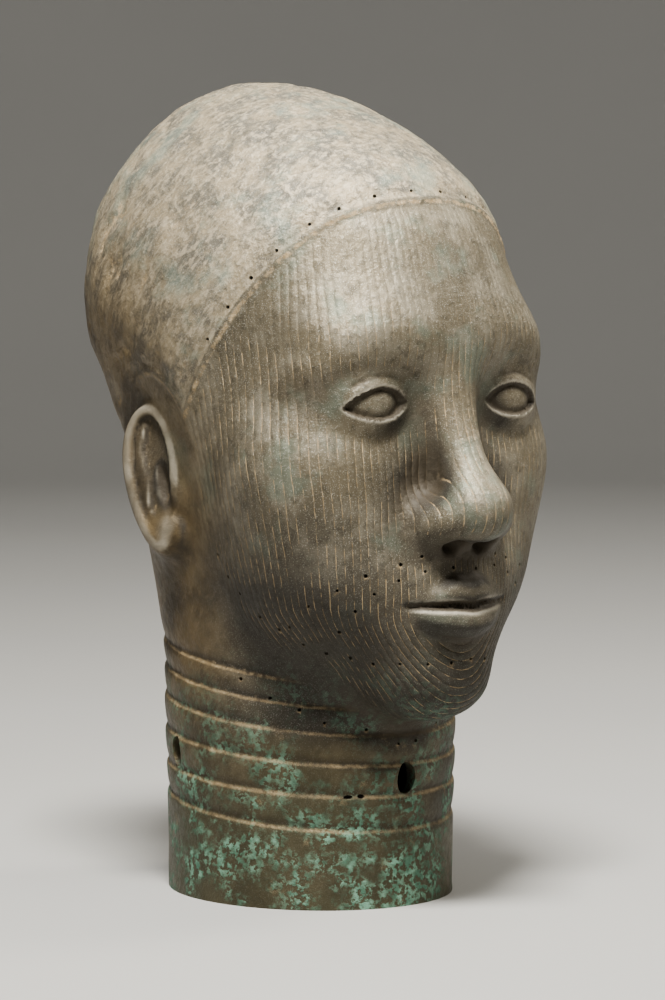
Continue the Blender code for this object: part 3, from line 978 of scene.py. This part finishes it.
def bronze_head():
    """The head with its fine relief, one mesh object that keeps marks for its material."""
    points, faces = outer_skin()
    small = mirrored(np.concatenate([hairline_places(), face_hole_places()]))
    points, faces = cut_out(points, faces, small)
    points, faces, groove = grooves(points, faces)
    height, pitted = skin_height(points)
    outer = ramp(bronze_field(metres_of(points)), -0.0006, -0.0001)
    outer *= ramp(points[:, 2], 0.0, 0.003)
    normals = normals_of(points)
    side = cap_side(one_side(points))
    rim, furrow, bowl = ear_marks(points)
    # Ridges, lips, lids and the ear's rim and lobe lightened: rubbed wear and a painted highlight.
    rubbed_ridge_highlight = 0.6 * ramp(bend(points, 0.0014), 180, 620) * ramp(np.abs(side), 3, 6)
    rubbed_ridge_highlight *= ramp(parts_of(points)[2], 24, 36)
    # The ear's furrow and bowl darkened: painted shade with some dark patina.
    ear_shade_and_patina = np.maximum(0.95 * furrow, 0.7 * bowl)
    marks = {
        "groove": groove,
        "dirt": dirt_share(points, small, pitted) * outer,
        "recess_shade": shelter(points, normals) * outer,
        "rubbed_ridge_highlight": np.maximum(rubbed_ridge_highlight, rim) * outer,
        "painted_shade_and_patina": np.maximum(painted_shade_and_patina_share(points, normals), ear_shade_and_patina) * outer,
        "side": np.clip(side, -12, 12),
        "inside": hollow_shade_share(points),
    }
    push = outer * (height - LINE_DEPTH * groove - EAR_FURROW * furrow)
    points = points + normals * push[:, None]
    marks["crease"] = crease_count(points)
    head, neck = head_field(parts_of(points)) * PART, neck_field(metres_of(points))
    marks["crease_shown"] = bare_neck(head, neck)
    marks["warm"], marks["green"] = places_of_tone(points)

    made = mesh_object("bronze_head", points.tolist(), faces.tolist())
    made.data.shade_smooth()
    made.data.set_sharp_from_angle(angle=math.radians(55))
    for name, values in marks.items():
        mark = made.data.attributes.new(name, "FLOAT", "POINT")
        mark.data.foreach_set("value", np.asarray(values, np.float32))
    return made


class Nodes:
    """A material's node tree, built up in short calls."""

    def __init__(self, name):
        self.material = bpy.data.materials.new(name)
        self.material.use_nodes = True
        self.tree = self.material.node_tree
        self.shader = self.tree.nodes["Principled BSDF"]
        self.place = self.add("ShaderNodeNewGeometry").outputs["Position"]

    def put(self, socket, value):
        if isinstance(value, bpy.types.NodeSocket):
            self.tree.links.new(value, socket)
        else:
            socket.default_value = value

    def give(self, node, **inputs):
        for name, value in inputs.items():
            self.put(node.inputs[name.replace("_", " ")], value)
        return node

    def add(self, kind, **inputs):
        return self.give(self.tree.nodes.new(kind), **inputs)

    def math(self, operation, a, b=0.0):
        node = self.tree.nodes.new("ShaderNodeMath")
        node.operation = operation
        self.put(node.inputs[0], a)
        self.put(node.inputs[1], b)
        return node.outputs[0]

    plus = partialmethod(math, "ADD")
    less = partialmethod(math, "SUBTRACT")
    times = partialmethod(math, "MULTIPLY")
    most = partialmethod(math, "MAXIMUM")
    size = partialmethod(math, "ABSOLUTE")

    def ramp(self, value, low, high, start=0.0, end=1.0):
        """start where the value is below low, end where it is above high, and a smooth run between."""
        node = self.tree.nodes.new("ShaderNodeMapRange")
        node.interpolation_type = "SMOOTHSTEP"
        for socket, given in zip(node.inputs, (value, low, high, start, end)):
            self.put(socket, given)
        return node.outputs[0]

    def mix(self, share, first, second):
        node = self.tree.nodes.new("ShaderNodeMix")
        node.data_type = "RGBA"
        for socket, value in ((0, share), (6, first), (7, second)):
            self.put(node.inputs[socket], value)
        return node.outputs[2]

    def mark(self, name):
        node = self.tree.nodes.new("ShaderNodeAttribute")
        node.attribute_name = name
        return node.outputs["Fac"]

    def noise(self, scale, detail=4.0, rough=0.55, shift=(0, 0, 0), along=1.0):
        """Noise so many to the metre, stretched that many times along the hair edge's way."""
        place = self.add("ShaderNodeMapping", Vector=self.place, Location=shift)
        place.vector_type = "TEXTURE"
        self.give(place, Rotation=(HAIR_TURN, 0, 0), Scale=(1, 1, along))
        node = self.add("ShaderNodeTexNoise", Vector=place.outputs[0], Scale=scale)
        return self.give(node, Detail=detail, Roughness=rough).outputs["Fac"]


def patinated_bronze():
    """Dark bronze rubbed to a soft shine, earth in every groove, green and pale bloom in places, and
    painted shade, shadow, highlights and glints.
    """
    n = Nodes("patinated_bronze")
    groove, dirt, recess_shade, rubbed_ridge_highlight = (n.mark(k) for k in ("groove", "dirt", "recess_shade", "rubbed_ridge_highlight"))
    side, warm, green, painted_shade_and_patina = (n.mark(k) for k in ("side", "warm", "green", "painted_shade_and_patina"))
    broad = n.noise(17, 3, 0.5)
    middle = n.noise(70, 5, 0.62, (1.3, 0.4, 0.0))
    fine = n.noise(280, 5, 0.65, (0.2, 0.7, 0.3))
    flake = n.noise(420, 4, 0.6, (2.2, 0.1, 0.9), 2.2)
    grain = n.noise(2300, 2, 0.6)

    # The neck's creases: off runs from minus to plus a half between the middles of two rings.
    crease, bare = n.mark("crease"), n.mark("crease_shown")
    off = n.less(crease, n.math("ROUND", crease))
    ragged = n.times(n.less(n.noise(150, 3, 0.55, (7, 1, 3)), 0.5), 0.10)
    # lip: the top edge of each ring below a crease, tan earth that also stands for the light it catches,
    # a painted highlight.
    lip = n.times(n.ramp(n.size(n.plus(n.plus(off, ragged), 0.055)), 0.0, 0.13, 1.0, 0.0), bare)
    # below: painted shade on the underside of each ring, just above the crease.
    below = n.times(n.times(n.ramp(off, 0.0, 0.05), n.ramp(off, 0.06, 0.30, 1.0, 0.0)), bare)

    # The hair's edge: tan earth at its foot on the skin, a painted shadow line at the step up, and
    # painted shade in a broken strip just inside.
    cap = n.ramp(side, -0.5, 2.0)
    foot = n.ramp(n.size(n.plus(side, 0.7)), 0.2, 1.3, 1.0, 0.0)
    foot = n.times(foot, n.ramp(warm, 0.3, 1.0, 1.0, 0.35))
    # step: a painted shadow line where the cap steps up.
    step = n.ramp(n.size(n.less(side, 0.8)), 0.1, 0.9, 0.6, 0.0)
    shade_strip = n.times(n.ramp(side, 0.3, 1.5), n.ramp(side, 3.0, 9.0, 0.65, 0.0))
    step = n.most(step, n.times(shade_strip, n.ramp(n.noise(36, 3, 0.5, (2, 2, 5)), 0.40, 0.62)))

    body = n.mix(n.ramp(broad, 0.36, 0.64), BRONZE, LIGHT_BRONZE)
    body = n.mix(n.ramp(middle, 0.42, 0.66, 0.0, 0.8), body, GREY_BRONZE)
    body = n.mix(n.ramp(fine, 0.50, 0.68, 0.0, 0.6), body, DARK_BRONZE)
    body = n.mix(n.ramp(n.noise(42, 6, 0.65, (5, 2, 7)), 0.52, 0.66, 0.0, 0.45), body, GREEN_BRONZE)

    cream = n.mix(n.ramp(middle, 0.40, 0.60), STONE, CREAM)
    cream = n.mix(n.ramp(flake, 0.47, 0.62, 0.0, 0.80), cream, PALE_CREAM)
    cream = n.mix(n.ramp(fine, 0.50, 0.64, 0.0, 0.7), cream, DARK_STONE)
    cream = n.mix(n.ramp(n.noise(46, 6, 0.65, (9, 2, 4)), 0.50, 0.66, 0.0, 0.45), cream, GREEN_CREAM)
    body = n.mix(n.times(cap, 0.85), body, cream)

    brown = n.mix(n.ramp(middle, 0.35, 0.65), DEEP_BROWN, BROWN)
    brown = n.mix(n.ramp(flake, 0.52, 0.70, 0.0, 0.5), brown, LIGHT_BROWN)
    body = n.mix(n.times(warm, n.ramp(broad, 0.25, 0.6, 0.72, 1.0)), body, brown)

    patches = n.ramp(n.noise(62, 5, 0.62, (4, 1, 2)), 0.42, 0.62)
    crumbs = n.ramp(n.noise(430, 5, 0.62, (4, 4, 2)), 0.46, 0.54)
    verdigris = n.times(n.times(patches, crumbs), green)
    mint = n.mix(n.ramp(n.noise(190, 4, 0.6, (0, 4, 2)), 0.40, 0.62), DARK_GREEN, MINT)
    veil = n.times(n.times(n.ramp(broad, 0.3, 0.6, 0.5, 1.0), green), 0.38)
    # The neck darkened towards its foot and its left front, with the green mask: painted shade of the
    # weaker light low down.
    body = n.mix(n.times(green, 0.62), body, LOW_NECK_SHADE)
    body = n.mix(veil, body, OLIVE)
    # Painted shadow and shade under each ring and at the hair's edge.
    body = n.mix(n.times(n.most(below, step), 0.55), body, PAINTED_SHADOW_BROWN)
    # Painted shade, with some dark patina, on the jaw, under the chin, in the ear and on the neck's side.
    body = n.mix(n.times(painted_shade_and_patina, 0.94), body, PAINTED_SHADE_AND_PATINA)
    body = n.mix(verdigris, body, mint)

    tan = n.mix(n.ramp(fine, 0.3, 0.7), EARTH, PALE_EARTH)
    caught = n.most(n.most(n.ramp(groove, 0.30, 1.0), dirt), n.times(foot, 0.8))
    caught = n.times(caught, n.ramp(n.noise(340, 4, 0.6, (1, 5, 0)), 0.36, 0.60, 0.15, 0.90))
    # The creases' lips: tan earth and a painted highlight.
    caught = n.most(caught, n.times(lip, n.ramp(middle, 0.3, 0.6, 0.28, 0.52)))
    film = n.ramp(n.noise(120, 8, 0.7, (3, 3, 1)), 0.50, 0.78, 0.0, 0.28)
    film = n.times(film, n.less(1.0, n.most(n.most(cap, green), painted_shade_and_patina)))
    earth = n.math("MINIMUM", n.plus(caught, film), 1.0)
    earth = n.ramp(n.plus(earth, n.times(n.less(grain, 0.5), 0.4)), 0.10, 0.85)
    final = n.mix(earth, body, tan)
    # Light specks stand for glints of the grain: painted glints, kept off warm brown and painted shade.
    clear = n.less(1.0, n.most(warm, n.times(painted_shade_and_patina, 0.75)))
    final = n.mix(n.times(n.ramp(grain, 0.57, 0.68, 0.0, 0.42), clear), final, GLINT_SPECK)
    # Rubbed wear and a painted highlight on ridges and the ear's rim and lobe.
    final = n.mix(n.ramp(rubbed_ridge_highlight, 0.0, 0.8, 0.0, 0.72), final, RUBBED_HIGHLIGHT)
    # Painted shade darkens the recesses.
    final = n.mix(n.ramp(recess_shade, 0.14, 0.48, 0.0, 0.88), final, RECESS_SHADE)
    # Painted shade inside the hollow, the holes and the flaw's pits.
    final = n.mix(n.mark("inside"), final, HOLLOW_SHADE)

    crust = n.most(earth, verdigris)
    metal = n.times(n.less(1.0, crust), n.ramp(cap, 0.0, 1.0, 0.55, 0.38))
    metal = n.times(metal, n.less(1.0, n.times(painted_shade_and_patina, 0.85)))
    rough = n.plus(n.ramp(fine, 0.3, 0.7, 0.42, 0.56), n.times(cap, 0.04))
    rough = n.plus(n.plus(rough, n.times(crust, 0.34)), n.times(painted_shade_and_patina, 0.15))
    lumps = n.plus(n.times(fine, 0.8), n.times(grain, 0.20))
    lumps = n.plus(lumps, n.times(n.plus(cap, 0.25), flake))
    lumps = n.plus(lumps, n.times(verdigris, 0.25))
    bump = n.add("ShaderNodeBump", Height=lumps, Strength=0.7, Distance=0.0009)
    n.give(n.shader, Base_Color=final, Metallic=metal, Roughness=rough, Normal=bump.outputs["Normal"])
    n.give(n.shader, Specular_IOR_Level=0.25)
    return n.material


def floor():
    """A wide pale disc with a curved rise all round it, so that no edge shows from any side."""
    profile = [(1.0, 0.0)]
    for angle in range(0, 91, 6):
        turn = math.radians(angle)
        profile.append((FLOOR_FLAT + FLOOR_RISE * math.sin(turn), FLOOR_RISE * (1 - math.cos(turn))))
    profile.append((FLOOR_FLAT + FLOOR_RISE, FLOOR_WALL))
    turns = [2 * math.pi * k / FLOOR_SIDES for k in range(FLOOR_SIDES)]
    points = [(away * math.cos(a), away * math.sin(a), up) for away, up in profile for a in turns]
    faces = [list(range(FLOOR_SIDES))]
    for ring in range(len(profile) - 1):
        for k in range(FLOOR_SIDES):
            last, here = ring * FLOOR_SIDES + (k - 1) % FLOOR_SIDES, ring * FLOOR_SIDES + k
            faces.append((last, last + FLOOR_SIDES, here + FLOOR_SIDES, here))
    made = mesh_object("floor", points, faces)
    made.data.shade_smooth()
    n = Nodes("pale_floor")
    n.give(n.shader, Base_Color=n.mix(n.noise(3, 2, 0.5), FLOOR, PALE_FLOOR), Roughness=0.8)
    made.data.materials.append(n.material)


def facing(turn, up):
    """The way from the head that is turned so many degrees from its front and raised."""
    turn, up = math.radians(turn), math.radians(up)
    return Vector((math.sin(turn) * math.cos(up), -math.cos(turn) * math.cos(up), math.sin(up)))


def placed(name, data, place, back):
    """An object of that data at a place, looking the other way from back."""
    made = bpy.data.objects.new(name, data)
    made.location = place
    made.rotation_euler = back.to_track_quat("Z", "Y").to_euler()
    bpy.context.scene.collection.objects.link(made)
    return made


def light(name, turn, up, far, size, power, tint):
    """A square soft light so far from the head, aimed at it."""
    lamp = bpy.data.lights.new(name, "AREA")
    lamp.size = size
    lamp.energy = power
    lamp.color = tint
    back = facing(turn, up)
    placed(name, lamp, Vector((0, 0, LIGHTS_AIM)) + back * far, back)


def camera():
    """The photograph's view: from the head's right front, a little above."""
    lens = bpy.data.cameras.new("camera")
    lens.lens = LENS
    lens.sensor_width = SENSOR
    lens.clip_start = 0.05
    bpy.context.scene.camera = placed("camera", lens, CAMERA_PLACE, facing(CAMERA_TURN, CAMERA_UP))


head = bronze_head()
head.data.materials.append(patinated_bronze())
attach(head, "root")
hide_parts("head")

floor()
for lamp in LIGHTS:
    light(*lamp)
world = bpy.data.worlds.new("studio")
world.use_nodes = True
background = world.node_tree.nodes["Background"]
background.inputs["Color"].default_value = WORLD_COLOUR
background.inputs["Strength"].default_value = WORLD_STRENGTH
bpy.context.scene.world = world
camera()
